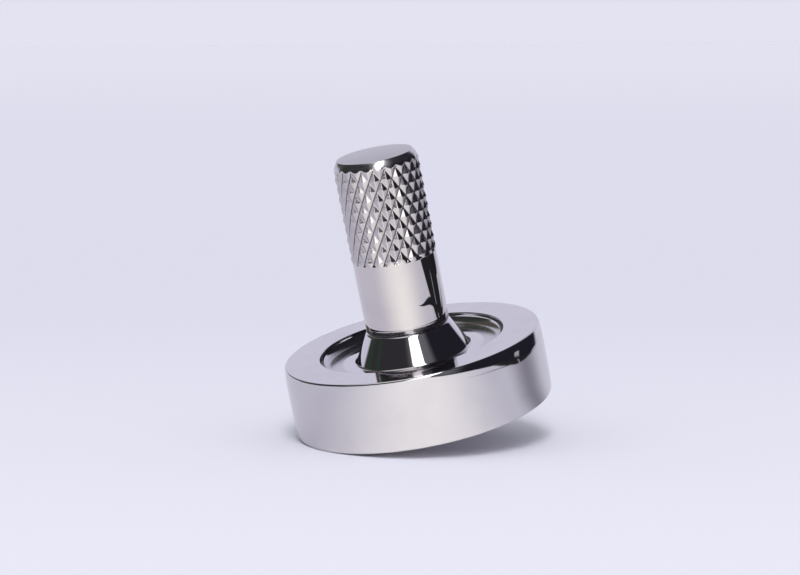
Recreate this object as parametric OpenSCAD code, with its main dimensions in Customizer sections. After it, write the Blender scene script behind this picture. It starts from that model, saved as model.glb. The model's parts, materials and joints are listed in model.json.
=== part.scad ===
// Steel finger top with a knurled grip, at rest on its rim and its tip.
// Millimetres. Each piece is turned about one axis, which the rest pose then leans over.
// Along that axis, zero is the centre of the tip ball and plus is towards the grip.

/* [Flywheel] */
// Outside diameter of the disc
disc_d = 28; // [25:0.5:36]
// Height of the rim
rim_h = 7.6; // [6.5:0.1:12]
// Round on the two outer edges of the rim
rim_round = 0.25; // [0.1:0.05:0.6]
// Diameter of the recess in the upper and the lower face
recess_d = 20; // [18:0.5:23]
// Depth of each recess
recess_depth = 1.15; // [0.8:0.05:1.6]
// Radius of the cove at the foot of the recess wall
cove_r = 1; // [0.3:0.05:1.1]
// Height of the hub above the rim
hub_rise = 2; // [1.4:0.1:4]
// Angle of the hub's flank to its axis
hub_angle = 29; // [15:1:35]
// Fillet at the foot of the hub
hub_fillet = 0.35; // [0.3:0.05:1.2]
// Round on the hub's top edge
hub_round = 0.5; // [0.1:0.05:0.6]
// Small round on the recess edges
edge_break = 0.12; // [0.05:0.01:0.2]

/* [Grip] */
// Diameter of the smooth stem
stem_d = 9; // [8.5:0.1:11]
// Length of the smooth stretch below the knurl
smooth_len = 8; // [4:0.1:12]
// Length of the knurl
knurl_len = 9.8; // [6:0.1:16]
// Length of the plain end above the knurl
end_len = 1.25; // [1.25:0.05:3]
// Round on the upper end
end_round = 1.2; // [0.3:0.05:1.2]
// Round on the stem's lower edge
foot_round = 0.15; // [0.1:0.05:0.8]
// Grooves of each hand around the knurl
knurl_starts = 22; // [16:1:36]
// Half diamonds along the knurl
knurl_rows = 9; // [5:1:16]
// Turn of the knurl round the stem
knurl_turn = 7; // [0:0.5:20]
// Height of the knurl's points above the smooth stem
knurl_rise = 0.1; // [0:0.02:0.2]
// Depth of the knurl from its points to its grooves
knurl_depth = 0.28; // [0.2:0.02:0.5]

/* [Screwed joint] */
// Nominal diameter of the thread
thread_d = 5; // [4:0.1:5.4]
// Room left in the hole under the thread
thread_room = 0.55; // [0.2:0.05:1.2]
// Chamfer at the end of the thread
thread_chamfer = 0.5; // [0.2:0.1:0.8]
// Depth of the undercut between the thread and the stem
neck_depth = 0.5; // [0.3:0.05:0.8]
// Thickness of the rubber ring
ring_section = 1; // [0.8:0.05:1.2]

/* [Tip] */
// Diameter of the tip ball
ball_d = 4; // [3:0.1:4.6]
// How far the ball stands below the rim
tip_drop = 3.3; // [3:0.1:5]
// Wall of the nose round the ball
lip_wall = 0.4; // [0.3:0.05:0.8]
// How far the nose reaches past the middle of the ball
lip_reach = 0.6; // [0.3:0.05:0.8]
// Diameter of the nose where it meets the disc
nose_d = 10; // [8:0.1:13]
// Diameter of the spigot that holds the nose in the disc
spigot_d = 6.4; // [6:0.1:7.4]
// Length of that spigot
spigot_len = 2; // [1:0.1:2.2]

/* [Hidden] */
$fn = 96;

// Clearances
running_gap = 0.03;
thread_gap = 0.05;
bond_gap = 0.02;
seat_gap = 0.02;
overrun = 0.2;
// How deep the hub fillet's circle cuts into the flank and the floor, so that it always crosses both
fillet_bite = 0.001;

disc_r = disc_d / 2;
recess_r = recess_d / 2;
stem_r = stem_d / 2;
thread_r = thread_d / 2;
ball_r = ball_d / 2;
nose_r = nose_d / 2;
spigot_r = spigot_d / 2;

// Stations along the axis
rim_low = tip_drop - ball_r;
rim_top = rim_low + rim_h;
low_floor = rim_low + recess_depth;
top_floor = rim_top - recess_depth;
hub_top = rim_top + hub_rise;
stem_low = hub_top + seat_gap;
knurl_low = stem_low + smooth_len;
knurl_top = knurl_low + knurl_len;
stem_top = knurl_top + end_len;

// Hub flank and its fillet, which is round a point off the flank and the floor alike
hub_foot_r = stem_r + (hub_top - top_floor) * tan(hub_angle);
fillet_run = hub_fillet * tan((90 - hub_angle) / 2);
fillet_r = hub_foot_r + fillet_run - fillet_bite;
fillet_z = top_floor + hub_fillet - fillet_bite;
flank_touch = [hub_foot_r - fillet_run * sin(hub_angle), top_floor + fillet_run * cos(hub_angle)];
// Middle of the round on the hub's top edge, which meets the flank and the top alike
hub_edge = [stem_r - hub_round * tan((90 - hub_angle) / 2), hub_top - hub_round];

// Screwed joint: neck under the stem, rubber ring round it, then the thread
neck_r = thread_r - neck_depth;
ring_mid_r = neck_r + running_gap + ring_section / 2;
ring_well_r = ring_mid_r + ring_section / 2 + running_gap;
ring_z = hub_top - running_gap - ring_section / 2;
ring_well_low = ring_z - ring_section / 2 - running_gap;
thread_low = low_floor + spigot_len + bond_gap + thread_room;

// Knurl
crest_r = stem_r + knurl_rise;
groove_r = crest_r - knurl_depth;
knurl_end_r = (stem_r + groove_r) / 2;
knurl_sink = end_len / 2;
knurl_sunk_r = groove_r - knurl_depth;
knurl_points = 2 * knurl_starts;

// Nose
lip_r = ball_r + lip_wall;

// The lean at which the ball and the rounded lower edge of the rim both touch the table
rim_span = disc_r - rim_round;
rim_height = rim_low + rim_round;
lean = atan2(rim_height, rim_span) + asin((ball_r - rim_round) / norm([rim_span, rim_height]));

// Stands the turned pieces on the table, leaning towards -X, with the tip touching at the origin
module at_rest() {
    translate([0, 0, ball_r]) rotate([0, -lean, 0]) children();
}

// What a round takes off an outside corner, or a fillet adds to an inside one
module corner(r) {
    difference() {
        translate([-overrun, -overrun]) square(r + overrun);
        translate([r, r]) circle(r);
    }
}

// A band of a section between two radii and two stations
module band(r_in, r_out, low, top) {
    translate([r_in, low]) square([r_out - r_in, top - low]);
}

module rim_section() {
    difference() {
        band(0, disc_r, rim_low, rim_top);
        band(0, recess_r, top_floor, rim_top + overrun);
        band(0, recess_r, rim_low - overrun, low_floor);
        translate([disc_r, rim_top]) mirror([1, 0]) mirror([0, 1]) corner(rim_round);
        translate([disc_r, rim_low]) mirror([1, 0]) corner(rim_round);
        translate([recess_r, rim_top]) mirror([0, 1]) corner(edge_break);
        translate([recess_r, rim_low]) corner(edge_break);
    }
    translate([recess_r, top_floor]) mirror([1, 0]) corner(cove_r);
    translate([recess_r, low_floor]) mirror([1, 0]) mirror([0, 1]) corner(cove_r);
}

module hub_section() {
    difference() {
        polygon([[0, low_floor], [hub_foot_r, low_floor], [hub_foot_r, top_floor], [stem_r, hub_top], [0, hub_top]]);
        difference() {
            polygon([hub_edge, hub_edge + [0, hub_round + overrun], [stem_r + overrun, hub_top + overrun],
                     hub_edge + (hub_round + overrun) * [cos(hub_angle), sin(hub_angle)]]);
            translate(hub_edge) circle(hub_round);
        }
    }
    difference() {
        polygon([[hub_foot_r - fillet_run, top_floor - overrun], [fillet_r, top_floor - overrun],
                 [fillet_r, fillet_z], flank_touch]);
        translate([fillet_r, fillet_z]) circle(hub_fillet);
    }
}

module flywheel() {
    color("silver") at_rest() rotate_extrude() difference() {
        union() {
            rim_section();
            hub_section();
        }
        band(0, thread_r + thread_gap, low_floor - overrun, hub_top + overrun);
        band(0, ring_well_r, ring_well_low, hub_top + overrun);
        band(0, spigot_r + bond_gap, low_floor - overrun, low_floor + spigot_len + bond_gap);
    }
}

module stem_section() {
    difference() {
        band(0, stem_r, stem_low, knurl_low);
        translate([stem_r, stem_low]) mirror([1, 0]) corner(foot_round);
    }
    difference() {
        band(0, stem_r, knurl_top, stem_top);
        translate([stem_r, stem_top]) mirror([1, 0]) mirror([0, 1]) corner(end_round);
    }
}

module shank_section() {
    band(0, neck_r, ring_well_low - overrun, stem_low + overrun);
    polygon([[0, thread_low], [thread_r - thread_chamfer, thread_low], [thread_r, thread_low + thread_chamfer],
             [thread_r, ring_well_low], [0, ring_well_low]]);
}

// Points of the knurl on one row, from one groove crossing to the next across the tip of a diamond
function knurl_ring(row) = [
    for (i = [0 : knurl_points - 1])
        let (on_end = row == 0 || row == knurl_rows,
             r = (i + row) % 2 == 0 ? groove_r : on_end ? knurl_end_r : crest_r,
             turn = 360 * i / knurl_points)
        [r * cos(turn), r * sin(turn), knurl_low + knurl_len * row / knurl_rows]
];

// The plain ring that ends the knurled core inside the smooth stem
function sunk_ring(z) = [
    for (i = [0 : knurl_points - 1])
        [knurl_sunk_r * cos(360 * i / knurl_points), knurl_sunk_r * sin(360 * i / knurl_points), z]
];

module knurled_core() {
    rings = concat([sunk_ring(knurl_low - knurl_sink)], [for (row = [0 : knurl_rows]) knurl_ring(row)],
                   [sunk_ring(knurl_top + knurl_sink)]);
    last = len(rings) - 1;
    // each cell between two rings is split along the groove that crosses it
    cells = [
        for (k = [0 : last - 1], i = [0 : knurl_points - 1])
            let (j = (i + 1) % knurl_points,
                 a = k * knurl_points + i, b = k * knurl_points + j,
                 c = (k + 1) * knurl_points + j, d = (k + 1) * knurl_points + i)
            each (i + k) % 2 == 1 ? [[a, c, b], [a, d, c]] : [[a, d, b], [b, d, c]]
    ];
    low_cap = [for (i = [0 : knurl_points - 1]) i];
    top_cap = [for (i = [knurl_points - 1 : -1 : 0]) last * knurl_points + i];
    polyhedron([for (ring = rings) each ring], concat(cells, [low_cap, top_cap]));
}

module grip() {
    color("gainsboro") at_rest() {
        rotate_extrude() stem_section();
        rotate_extrude() shank_section();
        rotate(knurl_turn) knurled_core();
    }
}

module grip_o_ring() {
    color("dimgray") at_rest() rotate_extrude() translate([ring_mid_r, ring_z]) circle(ring_section / 2);
}

module tip_holder() {
    color("lightgray") at_rest() rotate_extrude() difference() {
        union() {
            polygon([[0, -lip_reach], [lip_r, -lip_reach], [nose_r, low_floor - bond_gap], [0, low_floor - bond_gap]]);
            band(0, spigot_r, low_floor - overrun, low_floor + spigot_len);
        }
        circle(ball_r + running_gap);
    }
}

module tip_ball() {
    color("whitesmoke") at_rest() sphere(ball_r);
}

flywheel();
grip();
grip_o_ring();
tip_holder();
tip_ball();
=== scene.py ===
import json
import math

import bpy
from mathutils import Matrix, Vector


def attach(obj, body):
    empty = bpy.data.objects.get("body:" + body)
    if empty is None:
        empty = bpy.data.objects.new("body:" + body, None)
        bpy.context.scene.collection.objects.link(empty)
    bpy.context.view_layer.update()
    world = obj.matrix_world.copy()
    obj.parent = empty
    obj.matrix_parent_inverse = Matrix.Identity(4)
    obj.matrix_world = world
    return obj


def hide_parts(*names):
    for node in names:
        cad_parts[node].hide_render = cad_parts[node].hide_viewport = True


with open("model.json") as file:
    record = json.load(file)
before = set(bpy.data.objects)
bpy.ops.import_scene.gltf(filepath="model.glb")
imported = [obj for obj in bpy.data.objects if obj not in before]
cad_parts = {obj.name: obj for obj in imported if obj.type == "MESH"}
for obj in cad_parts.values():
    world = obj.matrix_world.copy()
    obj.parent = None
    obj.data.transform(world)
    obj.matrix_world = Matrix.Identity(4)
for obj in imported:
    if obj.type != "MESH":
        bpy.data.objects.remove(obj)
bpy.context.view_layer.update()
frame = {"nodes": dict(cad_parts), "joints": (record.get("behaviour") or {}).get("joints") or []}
scene = bpy.context.scene
scene.view_settings.view_transform = "Standard"
mm = 0.001
print("frame loaded, nodes:", ", ".join(sorted(frame["nodes"])))

# every piece is turned about the spin axis, which leans as the top rests on its rim
# heights along that axis start at the middle of the tip ball
spinJoint = next(joint for joint in frame["joints"] if joint["name"] == "spin")
spinAxis = Vector(spinJoint["axis"]).normalized()
ballCentre = Vector(spinJoint["pos_m"])
leanTurn = Vector((0, 0, 1)).rotation_difference(spinAxis)
leaned = Matrix.Translation(ballCentre) @ leanTurn.to_matrix().to_4x4()

# sizes that pieces share, and the gaps between them, in mm
shared = {
    "rimLow": 1.3, "rimTop": 8.9, "recessDepth": 1.15, "hubTop": 10.9, "stemRadius": 4.5,
    "threadRadius": 2.5, "neckRadius": 2.0, "ringSection": 1.0,
    "ballRadius": 2.0, "spigotRadius": 3.2, "spigotLength": 2.0,
    "seatGap": 0.02, "bondGap": 0.02, "runningGap": 0.03, "threadGap": 0.05,
}
topFloor = shared["rimTop"] - shared["recessDepth"]
lowFloor = shared["rimLow"] + shared["recessDepth"]
stemLow = shared["hubTop"] + shared["seatGap"]
spigotTop = lowFloor + shared["spigotLength"]
socketTop = spigotTop + shared["bondGap"]
# the rubber ring lies in a well round the neck of the shank
ringHalf = shared["ringSection"] / 2
ringRadius = shared["neckRadius"] + shared["runningGap"] + ringHalf
ringHeight = shared["hubTop"] - shared["runningGap"] - ringHalf
wellRadius = ringRadius + ringHalf + shared["runningGap"]
wellLow = ringHeight - ringHalf - shared["runningGap"]

camera = {
    "azimuth": -37.4,         # 0 looks along +Y, degrees
    "elevation": 6.0,
    "focalPixels": 2600.0,    # of an image 800 pixels wide
    "imageWidth": 800.0,
    "sensorWidth": 36.0,
    "clipStart": 10.0,        # mm
    "aimRight": 1.2019,       # where the middle of the rim's upper face lies in the view, mm
    "aimUp": -5.8225,
    "aimDistance": 278.88,
}


def viewAxes(azimuth, elevation):
    turn = math.radians(azimuth)
    rise = math.radians(elevation)
    back = Vector((math.sin(turn) * math.cos(rise), -math.cos(turn) * math.cos(rise), math.sin(rise)))
    right = Vector((math.cos(turn), math.sin(turn), 0))
    return right, back.cross(right), back


def makeCamera():
    right, up, back = viewAxes(camera["azimuth"], camera["elevation"])
    aim = leaned @ Vector((0, 0, shared["rimTop"] * mm))
    offset = right * camera["aimRight"] + up * camera["aimUp"] - back * camera["aimDistance"]
    facing = Matrix((right, up, back)).transposed().to_4x4()
    data = bpy.data.cameras.new("photoCamera")
    data.sensor_width = camera["sensorWidth"]
    data.lens = camera["sensorWidth"] * camera["focalPixels"] / camera["imageWidth"]
    data.clip_start = camera["clipStart"] * mm
    eye = bpy.data.objects.new("photoCamera", data)
    scene.collection.objects.link(eye)
    eye.matrix_world = Matrix.Translation(aim - offset * mm) @ facing
    scene.camera = eye


makeCamera()
print("camera set at azimuth", camera["azimuth"], "elevation", camera["elevation"])


# one output of a shader node: sums and products on it add Math nodes
class Socket:
    def __init__(self, shader, output):
        self.shader = shader
        self.output = output

    def __add__(self, other):
        return self.shader.calculate("ADD", self, other)

    def __radd__(self, other):
        return self.shader.calculate("ADD", other, self)

    def __sub__(self, other):
        return self.shader.calculate("SUBTRACT", self, other)

    def __rsub__(self, other):
        return self.shader.calculate("SUBTRACT", other, self)

    def __mul__(self, other):
        return self.shader.calculate("MULTIPLY", self, other)

    def __rmul__(self, other):
        return self.shader.calculate("MULTIPLY", other, self)

    def __truediv__(self, other):
        return self.shader.calculate("DIVIDE", self, other)

    def __rtruediv__(self, other):
        return self.shader.calculate("DIVIDE", other, self)


# a node tree under construction
class Shader:
    def __init__(self, owner):
        owner.use_nodes = True
        self.tree = owner.node_tree
        self.tree.nodes.clear()

    # any node: its settings are set first, then the values or links of its sockets
    def node(self, kind, settings=None, sockets=None, output=0):
        made = self.tree.nodes.new(kind)
        for name, value in (settings or {}).items():
            setattr(made, name, value)
        for key, value in (sockets or {}).items():
            if isinstance(value, Socket):
                self.tree.links.new(value.output, made.inputs[key])
            else:
                made.inputs[key].default_value = value
        return Socket(self, made.outputs[output]) if made.outputs else made

    def calculate(self, operation, *values):
        return self.node("ShaderNodeMath", {"operation": operation}, dict(enumerate(values)))

    def part(self, place, axis):
        return self.node("ShaderNodeSeparateXYZ", {}, {0: place}, axis)

    # 0 below low, 1 above high, eased between
    def step(self, value, low, high):
        return self.node("ShaderNodeMapRange", {"interpolation_type": "SMOOTHSTEP"},
                         {0: value, 1: low, 2: high})

    # 0 below an edge, 1 above it, eased over soft on both sides of it
    def past(self, value, edge, soft):
        return self.step(value, edge - soft, edge + soft)

    # 1 between low and high, eased over soft at both ends
    def window(self, value, low, high, soft):
        return self.past(value, low, soft) * (1 - self.past(value, high, soft))

    def mixColour(self, share, first, second):
        return self.node("ShaderNodeMix", {"data_type": "RGBA"}, {0: share, 6: first, 7: second}, 2)

    def noise(self, place, scale, detail, dimensions="3D"):
        return self.node("ShaderNodeTexNoise", {"noise_dimensions": dimensions},
                         {"Vector": place, "Scale": scale, "Detail": detail})


def rgb(red, green, blue):
    return (red, green, blue, 1)


# outlines are lists of corners (radius, height, round), in mm, and each round becomes an arc
outline = {
    "arcStep": 6.0,       # degrees of arc to a step
    "fewestSteps": 4,
    "easeLength": 0.03,   # the strip beside a round that keeps the flat beside it flat
    "easeFrom": 0.12,     # shorter flats have no such strip
}


def roundCorner(before, corner, after, radius):
    toBefore = (before - corner).normalized()
    toAfter = (after - corner).normalized()
    halfAngle = toBefore.angle(toAfter) / 2
    reach = radius / math.tan(halfAngle)
    centre = corner + (toBefore + toAfter).normalized() * radius / math.sin(halfAngle)
    start = corner + toBefore * reach - centre
    sweep = start.angle_signed(corner + toAfter * reach - centre)
    steps = max(outline["fewestSteps"], round(math.degrees(abs(sweep)) / outline["arcStep"]))
    turns = [Matrix.Rotation(-sweep * step / steps, 2) for step in range(steps + 1)]
    return [centre + turn @ start for turn in turns]


def turnedOutline(corners, closed):
    points = [Vector((r, z)) for r, z, radius in corners]
    runs = []
    for i, (point, corner) in enumerate(zip(points, corners)):
        radius = corner[2]
        isEnd = not closed and i in (0, len(corners) - 1)
        isSharp = isEnd or radius == 0
        after = points[(i + 1) % len(points)]
        runs.append([point] if isSharp else roundCorner(points[i - 1], point, after, radius))
    path = []
    for i, run in enumerate(runs):
        path += run
        if closed or i < len(runs) - 1:
            start, end = run[-1], runs[(i + 1) % len(runs)][0]
            length = (end - start).length
            if length > outline["easeFrom"]:
                along = (end - start) * outline["easeLength"] / length
                path += [start + along, end - along]
    return [(p.x, p.y) for p in path]


# rings of points become one skin
# a ring of one point is a pole, and a ring may have fewer points than the next
class Skin:
    def __init__(self):
        self.points = []
        self.faces = []
        self.rings = []

    def addRing(self, ring):
        first = len(self.points)
        self.points += ring
        self.rings.append(list(range(first, len(self.points))))

    # a ring whose radius follows a function of the turn and the height
    def addShaped(self, radiusAt, height, count, phase=0):
        ring = []
        for i in range(count):
            turn = 2 * math.pi * i / count
            r = radiusAt(turn, height)
            ring.append((r * math.cos(turn + phase), r * math.sin(turn + phase), height))
        self.addRing(ring)

    def turn(self, path, count):
        for r, z in path:
            if r > 0:
                self.addShaped(lambda turn, height: r, z, count)
            else:
                self.addRing([(0, 0, z)])

    def join(self, low, high, slant=None):
        if len(low) == 1 or len(high) == 1:
            ring = low if len(high) == 1 else high
            pole = high[0] if len(high) == 1 else low[0]
            for i in range(len(ring)):
                pair = [ring[i], ring[(i + 1) % len(ring)]]
                self.faces.append([*(pair if ring is low else pair[::-1]), pole])
            return
        coarse = min(len(low), len(high))
        perLow, perHigh = len(low) // coarse, len(high) // coarse
        for i in range(coarse):
            bottom = [low[(i * perLow + k) % len(low)] for k in range(perLow + 1)]
            top = [high[(i * perHigh + k) % len(high)] for k in range(perHigh + 1)]
            way = slant(i) if slant else 0
            if way > 0:       # split from the lower left to the upper right
                self.faces += [[bottom[0], bottom[1], top[1]], [bottom[0], top[1], top[0]]]
            elif way < 0:
                self.faces += [[bottom[0], bottom[1], top[0]], [bottom[1], top[1], top[0]]]
            else:
                self.faces.append(bottom + top[::-1])

    def joinAll(self, closed=False, slants=None):
        pairs = list(zip(self.rings, self.rings[1:]))
        if closed:
            pairs.append((self.rings[-1], self.rings[0]))
        for row, (low, high) in enumerate(pairs):
            self.join(low, high, (slants or {}).get(row))

    def mesh(self, name):
        made = bpy.data.meshes.new(name)
        made.from_pydata([Vector(p) * mm for p in self.points], [], self.faces)
        made.validate()
        made.shade_smooth()
        return made


# the mesh itself is leaned, so that the piece's box is as small as it can be
def addPiece(name, skin, finish, body, node):
    mesh = skin.mesh(name)
    mesh.transform(leaned)
    piece = bpy.data.objects.new(name, mesh)
    scene.collection.objects.link(piece)
    mesh.materials.append(finish)
    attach(piece, body)
    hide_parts(node)


# places on a piece in mm, with the spin axis upright again
def turnedPlace(shader):
    place = shader.node("ShaderNodeTexCoord", output="Object")
    return shader.node("ShaderNodeMapping", {"vector_type": "TEXTURE"}, {
        "Vector": place, "Location": ballCentre, "Rotation": leanTurn.to_euler(), "Scale": (mm, mm, mm)})


# where a spot of a turned piece lies: out from the axis, along it and round it
def spotOn(shader, place):
    across = shader.node("ShaderNodeVectorMath", {"operation": "MULTIPLY"}, {0: place, 1: (1, 1, 0)})
    return {
        "radius": shader.node("ShaderNodeVectorMath", {"operation": "LENGTH"}, {0: across}, "Value"),
        "height": shader.part(place, "Z"),
        "turn": shader.calculate("ARCTAN2", shader.part(place, "Y"), shader.part(place, "X")),
    }


steel = {
    "colour": rgb(0.68, 0.665, 0.68), "roughness": 0.045,
    # smudges, per mm: where the noise passes from low to high, the steel turns to their colour
    "smudgeColour": rgb(0.655, 0.64, 0.66), "smudgeRoughness": 0.012,
    "smudgeScale": 0.3, "smudgeDetail": 3.0, "smudgeLow": 0.45, "smudgeHigh": 0.7,
    "markScale": 3.0, "markDetail": 4.0, "markDepth": 0.00012,     # turning marks, per mm and mm deep
    "grainScale": 4.0, "grainDetail": 2.0,                         # dents and pits, per mm
}


# polished steel with turning marks round the axis and faint smudges
# a zone is a mask with a look of its own
def turnedSteel(name, look, zones=()):
    material = bpy.data.materials.new(name)
    shader = Shader(material)
    place = turnedPlace(shader)
    spot = spotOn(shader, place)
    section = shader.node("ShaderNodeCombineXYZ", {}, {0: spot["radius"], 1: spot["height"]})
    marks = shader.noise(section, look["markScale"], look["markDetail"], "2D")
    grain = shader.noise(place, look["grainScale"], look["grainDetail"])
    blots = shader.noise(place, look["smudgeScale"], look["smudgeDetail"])
    smudges = shader.step(blots, look["smudgeLow"], look["smudgeHigh"])
    colour = shader.mixColour(smudges, look["colour"], look["smudgeColour"])
    roughness = look["roughness"] + smudges * look["smudgeRoughness"]
    relief = marks * look["markDepth"]
    for mask, zone in zones:
        share = mask(shader, spot)
        colour = shader.mixColour(share, colour, zone["colour"])
        roughness = roughness + (zone["roughness"] - roughness) * share
        relief = relief + (marks * zone["markDepth"] + grain * zone["grainDepth"]) * share
    normal = shader.node("ShaderNodeBump", {}, {"Strength": 1, "Distance": mm, "Height": relief})
    surface = shader.node("ShaderNodeBsdfPrincipled", {}, {
        "Base Color": colour, "Metallic": 1, "Roughness": roughness, "Normal": normal})
    shader.node("ShaderNodeOutputMaterial", {}, {"Surface": surface})
    return material


flywheel = {
    "radius": 14.0, "lowRound": 0.22, "topRound": 0.22,
    # polishing has rolled off the wall towards its upper and lower edge
    # heights from the edge, drops from the wall, and rounds
    "rollFar": 1.7, "rollFarRound": 20.0,
    "rollNear": 0.6, "rollNearDrop": 0.073, "rollNearRound": 5.0, "rollDrop": 0.2,
    "lowRoll": 1.2, "lowDrop": 0.08, "lowRollRound": 20.0,
    "recessRadius": 10.0, "cove": 1.0, "edgeRound": 0.12,
    "hubAngle": 29.0, "hubFillet": 0.35, "hubRound": 0.5, "innerRound": 0.05,
    "steps": 320,
}
recessLook = {
    "colour": rgb(0.60, 0.585, 0.605), "roughness": 0.17, "markDepth": 0.0003, "grainDepth": 0.0,
    "soft": 0.25, "low": 0.02, "high": 0.9,      # it ends softly at the sides, and between two heights
}


# the floor of each recess and the foot of its cove, which polish less well than the rest
def inRecess(shader, spot):
    hubSide = shared["stemRadius"] + shared["hubTop"] - topFloor
    across = shader.window(spot["radius"], hubSide, flywheel["recessRadius"], recessLook["soft"])
    above = shader.step(spot["height"], topFloor + recessLook["low"], topFloor + recessLook["high"])
    return across * (1 - above)


def makeFlywheel():
    f, s = flywheel, shared
    boreRadius = s["threadRadius"] + s["threadGap"]
    socketRadius = s["spigotRadius"] + s["bondGap"]
    hubFoot = s["stemRadius"] + (s["hubTop"] - topFloor) * math.tan(math.radians(f["hubAngle"]))
    corners = [
        (wellRadius, s["hubTop"], f["innerRound"]),
        (wellRadius, wellLow, f["innerRound"]),
        (boreRadius, wellLow, f["innerRound"]),
        (boreRadius, socketTop, f["innerRound"]),
        (socketRadius, socketTop, f["innerRound"]),
        (socketRadius, lowFloor, f["innerRound"]),
        (f["recessRadius"], lowFloor, f["cove"]),
        (f["recessRadius"], s["rimLow"], f["edgeRound"]),
        (f["radius"] - f["lowDrop"], s["rimLow"], f["lowRound"]),
        (f["radius"], s["rimLow"] + f["lowRoll"], f["lowRollRound"]),
        (f["radius"], s["rimTop"] - f["rollFar"], f["rollFarRound"]),
        (f["radius"] - f["rollNearDrop"], s["rimTop"] - f["rollNear"], f["rollNearRound"]),
        (f["radius"] - f["rollDrop"], s["rimTop"], f["topRound"]),
        (f["recessRadius"], s["rimTop"], f["edgeRound"]),
        (f["recessRadius"], topFloor, f["cove"]),
        (hubFoot, topFloor, f["hubFillet"]),
        (s["stemRadius"], s["hubTop"], f["hubRound"]),
    ]
    skin = Skin()
    skin.turn(turnedOutline(corners, True), f["steps"])
    skin.joinAll(closed=True)
    finish = turnedSteel("discSteel", steel, [(inRecess, recessLook)])
    addPiece("discWithHub", skin, finish, "wheel", "flywheel")


makeFlywheel()
print("flywheel turned")

grip = {
    "top": 29.97,
    # polishing has rolled off the foot a little
    "footRound": 0.15, "footRoll": 0.63, "footDrop": 0.012, "footRollRound": 20.0,
    # the end: a polished round band, then an edge, then a faintly domed satin face
    "bandLow": 28.34, "bandRound": 2.14, "faceRadius": 4.05, "faceLow": 29.77, "faceRound": 0.06,
    "knurlStarts": 22, "diamondHeight": 2.19, "firstRow": 19.0, "knurlTurn": 7.0,
    "crestRise": 0.1, "knurlDepth": 0.28, "grooveLow": 18.68, "grooveTop": 29.1, "runOut": 0.4,
    "plainGap": 0.1,         # from the plain stem to the first row of the knurl
    "threadRoom": 0.55,      # in the hole under the thread
    "threadPitch": 0.8, "threadDepth": 0.46,
    "flankSlope": 2.4, "crestShare": 0.2,     # the thread's flanks and the flat of its crest
    "neckStep": 0.02, "neckRound": 0.03, "seatStep": 0.1,
    "cellSteps": 8,          # steps across half a diamond
    "rowsBelow": 3,          # rows of steps below the first crossing of the grooves
    "threadSteps": 96, "turnRows": 8, "arcRows": 12, "domeRows": 8,
}
threadLow = socketTop + grip["threadRoom"]
bandTop = grip["faceLow"] - grip["faceRound"]
# steps round the stem, and rows of steps along the knurl
knurlSteps = grip["knurlStarts"] * 2 * grip["cellSteps"]
rowHeight = grip["diamondHeight"] / 2 / grip["cellSteps"]
knurlLow = grip["firstRow"] - grip["rowsBelow"] * rowHeight
knurlRows = round((grip["grooveTop"] - knurlLow) / rowHeight) + 1

gripLook = {
    **steel, "colour": rgb(0.69, 0.66, 0.65), "roughness": 0.01, "markDepth": 0.000008, "markScale": 5.0,
    "smudgeColour": rgb(0.66, 0.63, 0.63), "smudgeRoughness": 0.004,
}
knurlLook = {
    "colour": rgb(0.60, 0.575, 0.575), "roughness": 0.15, "markDepth": 0.0002, "grainDepth": 0.012,
    "soft": 0.15,
}
# painted shade: a near-black colour along the bottoms of the grooves that rise to the right
grooveShadeLook = {
    "colour": rgb(0.07, 0.06, 0.075), "roughness": 0.45, "markDepth": 0.0, "grainDepth": 0.0,
    "halfWidth": 0.1,        # as a share of the way to the next groove
}
# painted dark reflection: the foot of the stem, next to the hub, is painted darker
footPaintedDarkLook = {
    "colour": rgb(0.40, 0.385, 0.40), "roughness": 0.12, "markDepth": 0.0, "grainDepth": 0.008,
    "low": 0.45, "high": 0.62,
}
roundLook = {
    "colour": rgb(0.58, 0.565, 0.58), "roughness": 0.18, "markDepth": 0.0003, "grainDepth": 0.0,
    "soft": 0.12,
}
faceLook = {
    "colour": rgb(0.60, 0.59, 0.595), "roughness": 0.32, "markDepth": 0.0003, "grainDepth": 0.0,
    "soft": 0.05,
}
shankLook = {
    "colour": rgb(0.55, 0.54, 0.55), "roughness": 0.3, "markDepth": 0.0, "grainDepth": 0.0,
    "soft": 0.02,
}


def onKnurl(shader, spot):
    soft = knurlLook["soft"]
    return shader.window(spot["height"], grip["grooveLow"] + soft, grip["grooveTop"] - soft, soft)


# painted shade along the bottoms of the grooves that rise to the right
def inShadedGrooves(shader, spot):
    across = (spot["turn"] - math.radians(grip["knurlTurn"])) * (grip["knurlStarts"] / (2 * math.pi))
    along = (spot["height"] - grip["firstRow"]) * (1 / grip["diamondHeight"])
    offGroove = shader.calculate("ABSOLUTE", shader.calculate("FRACT", across - along + 0.5) - 0.5)
    return (1 - shader.step(offGroove, 0, grooveShadeLook["halfWidth"])) * onKnurl(shader, spot)


# the foot of the stem, next to the hub, where the dark reflection is painted
def onPaintedDarkFoot(shader, spot):
    return 1 - shader.step(spot["height"], stemLow + footPaintedDarkLook["low"], stemLow + footPaintedDarkLook["high"])


def onEndRound(shader, spot):
    return shader.past(spot["height"], grip["grooveTop"], roundLook["soft"])


def onEndFace(shader, spot):
    outside = shader.past(spot["radius"], grip["faceRadius"] - faceLook["soft"], faceLook["soft"])
    above = shader.step(spot["height"], grip["bandLow"], grip["faceLow"] - 2 * grip["faceRound"])
    return (1 - outside) * above


def onShank(shader, spot):
    return 1 - shader.past(spot["height"], stemLow, shankLook["soft"])


def clamp(value):
    return min(1, max(0, value))


# how far a value is from the nearest whole number
def offWhole(value):
    return abs((value + 0.5) % 1 - 0.5)


def threadRadius(turn, height):
    g = grip
    phase = (height / g["threadPitch"] - turn / (2 * math.pi)) % 1
    cut = g["threadDepth"] * clamp(abs(phase - 0.5) * g["flankSlope"] - g["crestShare"])
    lead = min(height - threadLow, wellLow - height)
    return min(shared["threadRadius"] - cut, shared["neckRadius"] + lead)


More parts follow.
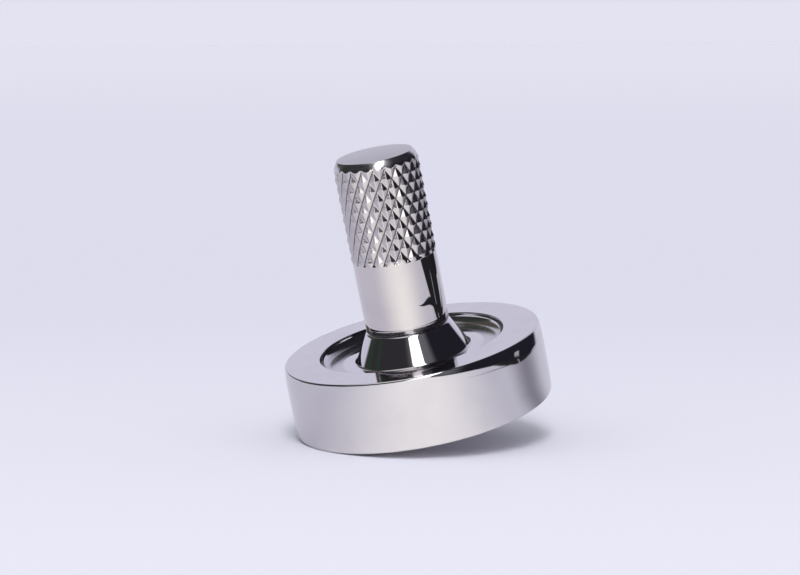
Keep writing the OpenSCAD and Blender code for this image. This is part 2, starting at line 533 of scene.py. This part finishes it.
def bandRadius(height):
    g = grip
    above = max(0, height - g["bandLow"])
    middle = shared["stemRadius"] + g["crestRise"] - g["bandRound"]
    return middle + math.sqrt(g["bandRound"] ** 2 - above ** 2)


# V grooves of both hands that run out at both ends, cut off above by the turned band
def knurlRadius(turn, height):
    g = grip
    across = turn * g["knurlStarts"] / (2 * math.pi)
    along = (height - g["firstRow"]) / g["diamondHeight"]
    offGroove = 2 * min(offWhole(across + along), offWhole(across - along))
    risen = clamp((height - g["grooveLow"]) / g["runOut"])
    ended = clamp((g["grooveTop"] - height) / g["runOut"])
    crest = shared["stemRadius"] + g["crestRise"] * risen
    groove = crest + g["knurlDepth"] * (offGroove - math.sqrt(min(risen, ended)))
    return min(crest, groove, bandRadius(height))


# the screw thread, one helix from the end of the shank to the neck
def addShank(skin):
    g = grip
    length = wellLow - threadLow
    rows = round(length / g["threadPitch"] * g["turnRows"])
    skin.addRing([(0, 0, threadLow)])
    for row in range(rows + 1):
        skin.addShaped(threadRadius, threadLow + length * row / rows, g["threadSteps"])
    neck = [
        (shared["neckRadius"], wellLow + g["neckStep"]),
        (shared["neckRadius"], stemLow - g["neckRound"]),
        (shared["neckRadius"] + g["neckRound"], stemLow),
    ]
    skin.turn(neck, g["threadSteps"])


# the plain stem up to where the grooves start
def addStem(skin):
    g, s = grip, shared
    corners = [
        (s["neckRadius"] + g["seatStep"], stemLow, 0),
        (s["stemRadius"] - g["footDrop"], stemLow, g["footRound"]),
        (s["stemRadius"], stemLow + g["footRoll"], g["footRollRound"]),
        (s["stemRadius"], knurlLow - g["plainGap"], 0),
    ]
    skin.turn(turnedOutline(corners, False), knurlSteps)


def addKnurl(skin):
    g = grip
    lastRow = knurlLow + rowHeight * (knurlRows - 1)
    heights = [knurlLow + rowHeight * row for row in range(knurlRows)]
    heights += [lastRow + (bandTop - lastRow) * (k + 1) / g["arcRows"] for k in range(g["arcRows"])]
    for height in heights:
        skin.addShaped(knurlRadius, height, knurlSteps, math.radians(g["knurlTurn"]))


def addEnd(skin):
    g = grip
    rise = g["top"] - g["faceLow"]
    shares = [1 - k / g["domeRows"] for k in range(g["domeRows"] + 1)]
    dome = [(g["faceRadius"] * share, g["top"] - rise * share ** 2) for share in shares]
    corners = [
        (bandRadius(bandTop), bandTop, 0),
        (g["faceRadius"], g["faceLow"], g["faceRound"]),
        (*dome[1], 0),
    ]
    skin.turn(turnedOutline(corners, False)[1:-1] + dome[1:], knurlSteps)


# each step of the knurl is split along the groove that crosses it
def grooveSlant(row):
    steps = grip["cellSteps"]

    def slant(i):
        isRising = (i // steps + row // steps) % 2 == 0
        if isRising:
            return 1 if i % steps == row % steps else 0
        return -1 if i % steps == steps - 1 - row % steps else 0

    return slant


def makeGrip():
    skin = Skin()
    addShank(skin)
    addStem(skin)
    firstRing = len(skin.rings)
    addKnurl(skin)
    addEnd(skin)
    skin.joinAll(slants={firstRing + row: grooveSlant(row - grip["rowsBelow"]) for row in range(knurlRows)})
    finish = turnedSteel("gripSteel", gripLook, [
        (onKnurl, knurlLook), (inShadedGrooves, grooveShadeLook), (onPaintedDarkFoot, footPaintedDarkLook), (onEndRound, roundLook),
        (onEndFace, faceLook), (onShank, shankLook)])
    addPiece("knurledGrip", skin, finish, "handle", "grip")


makeGrip()
print("grip turned and knurled")

tip = {
    "noseRadius": 5.0, "lipWall": 0.4, "lipReach": 0.6,     # the lip reaches past the middle of the ball
    "edgeRound": 0.1, "rootRound": 0.02,
    "ballRows": 64, "ballSteps": 96, "bowlRows": 24, "steps": 192,
}
ballLook = {**steel, "colour": rgb(0.78, 0.77, 0.79), "markDepth": 0.00003}
noseLook = {
    **steel, "colour": rgb(0.62, 0.61, 0.62), "roughness": 0.2, "markDepth": 0.0012, "markScale": 5.0,
}


def makeBall():
    r = shared["ballRadius"]
    turns = [math.pi * k / tip["ballRows"] for k in range(1, tip["ballRows"])]
    path = [(r * math.sin(turn), -r * math.cos(turn)) for turn in turns]
    skin = Skin()
    skin.turn([(0, -r), *path, (0, r)], tip["ballSteps"])
    skin.joinAll()
    addPiece("tipBall", skin, turnedSteel("ballSteel", ballLook), "pivot", "tip_ball")


# the nose with its spigot, and the pocket in it that holds the ball
def makeNose():
    t, s = tip, shared
    noseTop = lowFloor - s["bondGap"]
    lipLow = -t["lipReach"]
    pocket = s["ballRadius"] + s["runningGap"]
    opening = math.asin(lipLow / pocket)
    corners = [
        (0, spigotTop, 0),
        (s["spigotRadius"], spigotTop, t["edgeRound"]),
        (s["spigotRadius"], noseTop, t["rootRound"]),
        (t["noseRadius"], noseTop, t["edgeRound"]),
        (s["ballRadius"] + t["lipWall"], lipLow, t["edgeRound"]),
        (pocket * math.cos(opening), lipLow, 0),
    ]
    turns = [opening + (math.pi / 2 - opening) * k / t["bowlRows"] for k in range(1, t["bowlRows"])]
    path = turnedOutline(corners, False)
    path += [(pocket * math.cos(turn), pocket * math.sin(turn)) for turn in turns]
    path.append((0, pocket))
    skin = Skin()
    skin.turn(path[::-1], t["steps"])
    skin.joinAll()
    addPiece("tipNose", skin, turnedSteel("noseSteel", noseLook), "wheel", "tip_holder")


makeBall()
makeNose()

seal = {
    "sectionSteps": 48, "steps": 96,
    "colour": rgb(0.02, 0.02, 0.021), "paleColour": rgb(0.045, 0.045, 0.047),
    "roughness": 0.62, "grainRoughness": 0.25, "grainScale": 12.0, "grainDetail": 4.0,
}


def rubber(name):
    material = bpy.data.materials.new(name)
    shader = Shader(material)
    grain = shader.noise(turnedPlace(shader), seal["grainScale"], seal["grainDetail"])
    surface = shader.node("ShaderNodeBsdfPrincipled", {}, {
        "Base Color": shader.mixColour(grain, seal["colour"], seal["paleColour"]),
        "Roughness": seal["roughness"] + grain * seal["grainRoughness"]})
    shader.node("ShaderNodeOutputMaterial", {}, {"Surface": surface})
    return material


def makeSeal():
    path = []
    for k in range(seal["sectionSteps"]):
        turn = 2 * math.pi * k / seal["sectionSteps"]
        path.append((ringRadius + ringHalf * math.cos(turn), ringHeight + ringHalf * math.sin(turn)))
    skin = Skin()
    skin.turn(path, seal["steps"])
    skin.joinAll(closed=True)
    addPiece("rubberRing", skin, rubber("ringRubber"), "seal", "grip_o_ring")


makeSeal()
print("tip and rubber ring made")

# what the steel mirrors: degrees round from the camera, + to the right, and degrees up from the horizon
studio = {
    # the dark room round the camera, darker at the right, with green strips at the left
    "room": rgb(0.036, 0.034, 0.039),
    "roomRight": rgb(0.017, 0.016, 0.024), "rightFrom": 14.0, "rightTo": 40.0,
    "roomGreen": rgb(0.034, 0.05, 0.037), "greenSoft": 3.0,
    "greenStrips": [(-118.0, -100.0), (-88.0, -78.0)],
    # the softbox over the camera, with a glow beside it and a brighter upper part
    "softbox": rgb(2.1, 2.08, 2.1), "boxSide": 11.5, "boxSideSoft": 1.5,
    "boxLow": 0.0, "boxTop": 60.0, "boxSoft": 4.0,
    "glow": rgb(0.16, 0.16, 0.18), "glowLeft": -16.0, "glowRight": 34.0, "glowSoft": 10.0,
    "lamp": rgb(5, 5, 5), "lampLow": 34.0, "lampTop": 64.0,
    # a pale ceiling at the left
    "overhead": rgb(0.95, 0.93, 0.95), "overheadLow": 54.0, "overheadSoft": 8.0,
    "overheadLeft": -155.0, "overheadRight": -22.0, "overheadSideSoft": 15.0,
    # a slit of light at the right: a painted line of light on the floor and a blob over the horizon
    "slit": 101.0, "slitHalf": 1.0, "slitSoft": 0.8, "blobHalf": 3.2,
    "slitLight": rgb(0.45, 0.44, 0.5), "slitLow": 0.3, "slitTop": 4.4, "slitEndSoft": 0.5,
    # the pale backdrop behind the top, and a brown wall that stands over its left end
    "backdrop": rgb(0.73, 0.715, 0.86), "backdropLeft": -121.0, "backdropRight": 137.0, "backdropSoft": 4.0,
    "backdropTop": 44.0, "backdropTopSoft": 16.0,
    "wall": rgb(0.10, 0.088, 0.075), "wallLeft": -152.0, "wallRight": -114.0, "wallSideSoft": 6.0,
    "wallLow": 11.0, "wallTop": 50.0, "wallSoft": 3.0,
    # what lights the floor: the lamp, and a dome all round
    "lampLight": rgb(12.6, 12.6, 12.6), "dome": rgb(0.61, 0.61, 0.61),
}
viewRight, _, viewBack = viewAxes(camera["azimuth"], 0)


# how far a direction or place lies to the camera's right and towards the camera
def sideAndFront(shader, place):
    side, front = [
        shader.node("ShaderNodeVectorMath", {"operation": "DOT_PRODUCT"}, {0: place, 1: axis}, "Value")
        for axis in (viewRight, viewBack)]
    return side, front


def roundDegrees(shader, side, front):
    return shader.calculate("ARCTAN2", side, front) * math.degrees(1)


def mirroredStudio(shader, azimuth, elevation, acrossBox, lamp):
    s = studio
    seen = shader.mixColour(shader.step(azimuth, s["rightFrom"], s["rightTo"]), s["room"], s["roomRight"])
    for left, right in s["greenStrips"]:
        green = shader.window(azimuth, left, right, s["greenSoft"])
        seen = shader.mixColour(green, seen, s["roomGreen"])
    upright = shader.window(elevation, s["boxLow"], s["boxTop"], s["boxSoft"])
    glow = shader.window(azimuth, s["glowLeft"], s["glowRight"], s["glowSoft"])
    seen = shader.mixColour(glow * upright, seen, s["glow"])
    seen = shader.mixColour(acrossBox * upright, seen, s["softbox"])
    seen = shader.mixColour(lamp, seen, s["lamp"])
    above = shader.past(elevation, s["overheadLow"], s["overheadSoft"])
    ceiling = shader.window(azimuth, s["overheadLeft"], s["overheadRight"], s["overheadSideSoft"])
    seen = shader.mixColour(above * ceiling, seen, s["overhead"])
    slit = shader.window(azimuth, s["slit"] - s["blobHalf"], s["slit"] + s["blobHalf"], s["slitSoft"])
    blob = shader.window(elevation, s["slitLow"], s["slitTop"], s["slitEndSoft"])
    seen = shader.mixColour(slit * blob, seen, s["slitLight"])
    behind = 1 - shader.window(azimuth, s["backdropLeft"], s["backdropRight"], s["backdropSoft"])
    below = 1 - shader.past(elevation, s["backdropTop"], s["backdropTopSoft"])
    seen = shader.mixColour(behind * below, seen, s["backdrop"])
    acrossWall = shader.window(azimuth, s["wallLeft"], s["wallRight"], s["wallSideSoft"])
    upWall = shader.window(elevation, s["wallLow"], s["wallTop"], s["wallSoft"])
    return shader.mixColour(acrossWall * upWall, seen, s["wall"])


# the steel mirrors the studio, the lamp and the dome light the floor, and the camera sees the floor go on
def makeWorld():
    s = studio
    world = bpy.data.worlds.new("studio")
    scene.world = world
    shader = Shader(world)
    direction = shader.node("ShaderNodeTexCoord", output="Generated")
    azimuth = roundDegrees(shader, *sideAndFront(shader, direction))
    elevation = shader.calculate("ARCSINE", shader.part(direction, "Z")) * math.degrees(1)
    acrossBox = shader.window(azimuth, -s["boxSide"], s["boxSide"], s["boxSideSoft"])
    lamp = acrossBox * shader.window(elevation, s["lampLow"], s["lampTop"], s["boxSoft"])
    seen = mirroredStudio(shader, azimuth, elevation, acrossBox, lamp)
    isGlossy = shader.node("ShaderNodeLightPath", output="Is Glossy Ray")
    isCamera = shader.node("ShaderNodeLightPath", output="Is Camera Ray")
    colour = shader.mixColour(isGlossy, shader.mixColour(lamp, s["dome"], s["lampLight"]), seen)
    colour = shader.mixColour(isCamera, colour, floor["far"])
    back = shader.node("ShaderNodeBackground", {}, {"Color": colour, "Strength": 1})
    shader.node("ShaderNodeOutputWorld", {}, {"Surface": back})


# the table: places are metres to the right of the tip, towards the camera or ahead of it
floor = {
    "halfSize": 3.0,
    # painted light: the floor is painted lighter near the camera, darker in the middle and a little lighter
    # far off
    "near": rgb(0.84, 0.84, 0.955), "middle": rgb(0.725, 0.725, 0.855), "far": rgb(0.768, 0.768, 0.88),
    "nearAhead": -0.12, "middleAhead": 0.16, "farAhead": 2.0,
    # painted sheen: the steel sees the floor painted brighter in front and darker at the right, in degrees
    # round from the camera
    "mirrorFront": rgb(1.17, 1.14, 1.15), "mirrorSide": rgb(0.70, 0.685, 0.80),
    "mirrorAzimuth": 1.0, "mirrorSpread": 70.0,
    "dip": rgb(0.31, 0.30, 0.36), "dipAzimuth": 108.0, "dipSpread": 32.0,
    # painted dark: past a line to the right of the frame, further off towards the back, the steel sees the
    # floor painted dark, and the painted line of light from the slit ends further on
    "edge": rgb(0.02, 0.02, 0.024), "edgeSide": 0.205, "edgeSlope": 1.2, "edgeBack": 0.02,
    "edgeSoft": 0.008, "slitFar": 0.62,
    # a painted dark strip, outside the frame: it starts at a tip and curves back between two parabolas
    "stripSide": 0.042, "stripFront": 0.0516, "stripTipSoft": 0.001,
    "stripBendLow": 1.31, "stripFlare": 0.035, "stripBendHigh": 1.54, "stripSoft": 0.04,
}


# painted reflection: the floor's colour as the steel alone sees it, with painted sheen, painted dark and a
# painted line of light
def paintedFloorReflection(shader, side, front):
    f, s = floor, studio
    azimuth = roundDegrees(shader, side, front)
    offFront = shader.calculate("ABSOLUTE", azimuth - f["mirrorAzimuth"])
    sheen = shader.mixColour(shader.step(offFront, 0, f["mirrorSpread"]), f["mirrorFront"], f["mirrorSide"])
    offDip = shader.calculate("ABSOLUTE", azimuth - f["dipAzimuth"])
    sheen = shader.mixColour(shader.step(offDip, 0, f["dipSpread"]), f["dip"], sheen)
    # the painted dark strip
    offTip = side - f["stripSide"]
    bend = (f["stripFront"] - front) / (offTip * offTip)
    strip = shader.past(bend + f["stripFlare"] / offTip, f["stripBendLow"], f["stripSoft"])
    strip = strip * (1 - shader.past(bend, f["stripBendHigh"], f["stripSoft"]))
    strip = strip * shader.step(offTip, 0, f["stripTipSoft"])
    sheen = shader.mixColour(strip, sheen, f["edge"])
    # painted dark past the line at the right, crossed by the painted line of light
    behind = shader.calculate("MAXIMUM", 0 - front - f["edgeBack"], 0)
    beyond = shader.past(side - behind * f["edgeSlope"], f["edgeSide"], f["edgeSoft"])
    slit = shader.window(azimuth, s["slit"] - s["slitHalf"], s["slit"] + s["slitHalf"], s["slitSoft"])
    slit = slit * (1 - shader.past(side, f["slitFar"], f["edgeSoft"]))
    return shader.mixColour(beyond * (1 - slit), sheen, f["edge"])


def makeFloor():
    f = floor
    mesh = bpy.data.meshes.new("floor")
    r = f["halfSize"]
    mesh.from_pydata([(-r, -r, 0), (r, -r, 0), (r, r, 0), (-r, r, 0)], [], [(0, 1, 2, 3)])
    sheet = bpy.data.objects.new("floor", mesh)
    scene.collection.objects.link(sheet)
    material = bpy.data.materials.new("floorPaper")
    shader = Shader(material)
    side, front = sideAndFront(shader, shader.node("ShaderNodeTexCoord", output="Object"))
    ahead = 0 - front
    # painted light: lighter near the camera, darker in the middle
    colour = shader.mixColour(shader.step(ahead, f["nearAhead"], f["middleAhead"]), f["near"], f["middle"])
    colour = shader.mixColour(shader.step(ahead, f["middleAhead"], f["farAhead"]), colour, f["far"])
    isGlossy = shader.node("ShaderNodeLightPath", output="Is Glossy Ray")
    colour = shader.mixColour(isGlossy, colour, paintedFloorReflection(shader, side, front))
    surface = shader.node("ShaderNodeBsdfDiffuse", {}, {"Color": colour})
    shader.node("ShaderNodeOutputMaterial", {}, {"Surface": surface})
    mesh.materials.append(material)


makeWorld()
makeFloor()
print("studio lit")
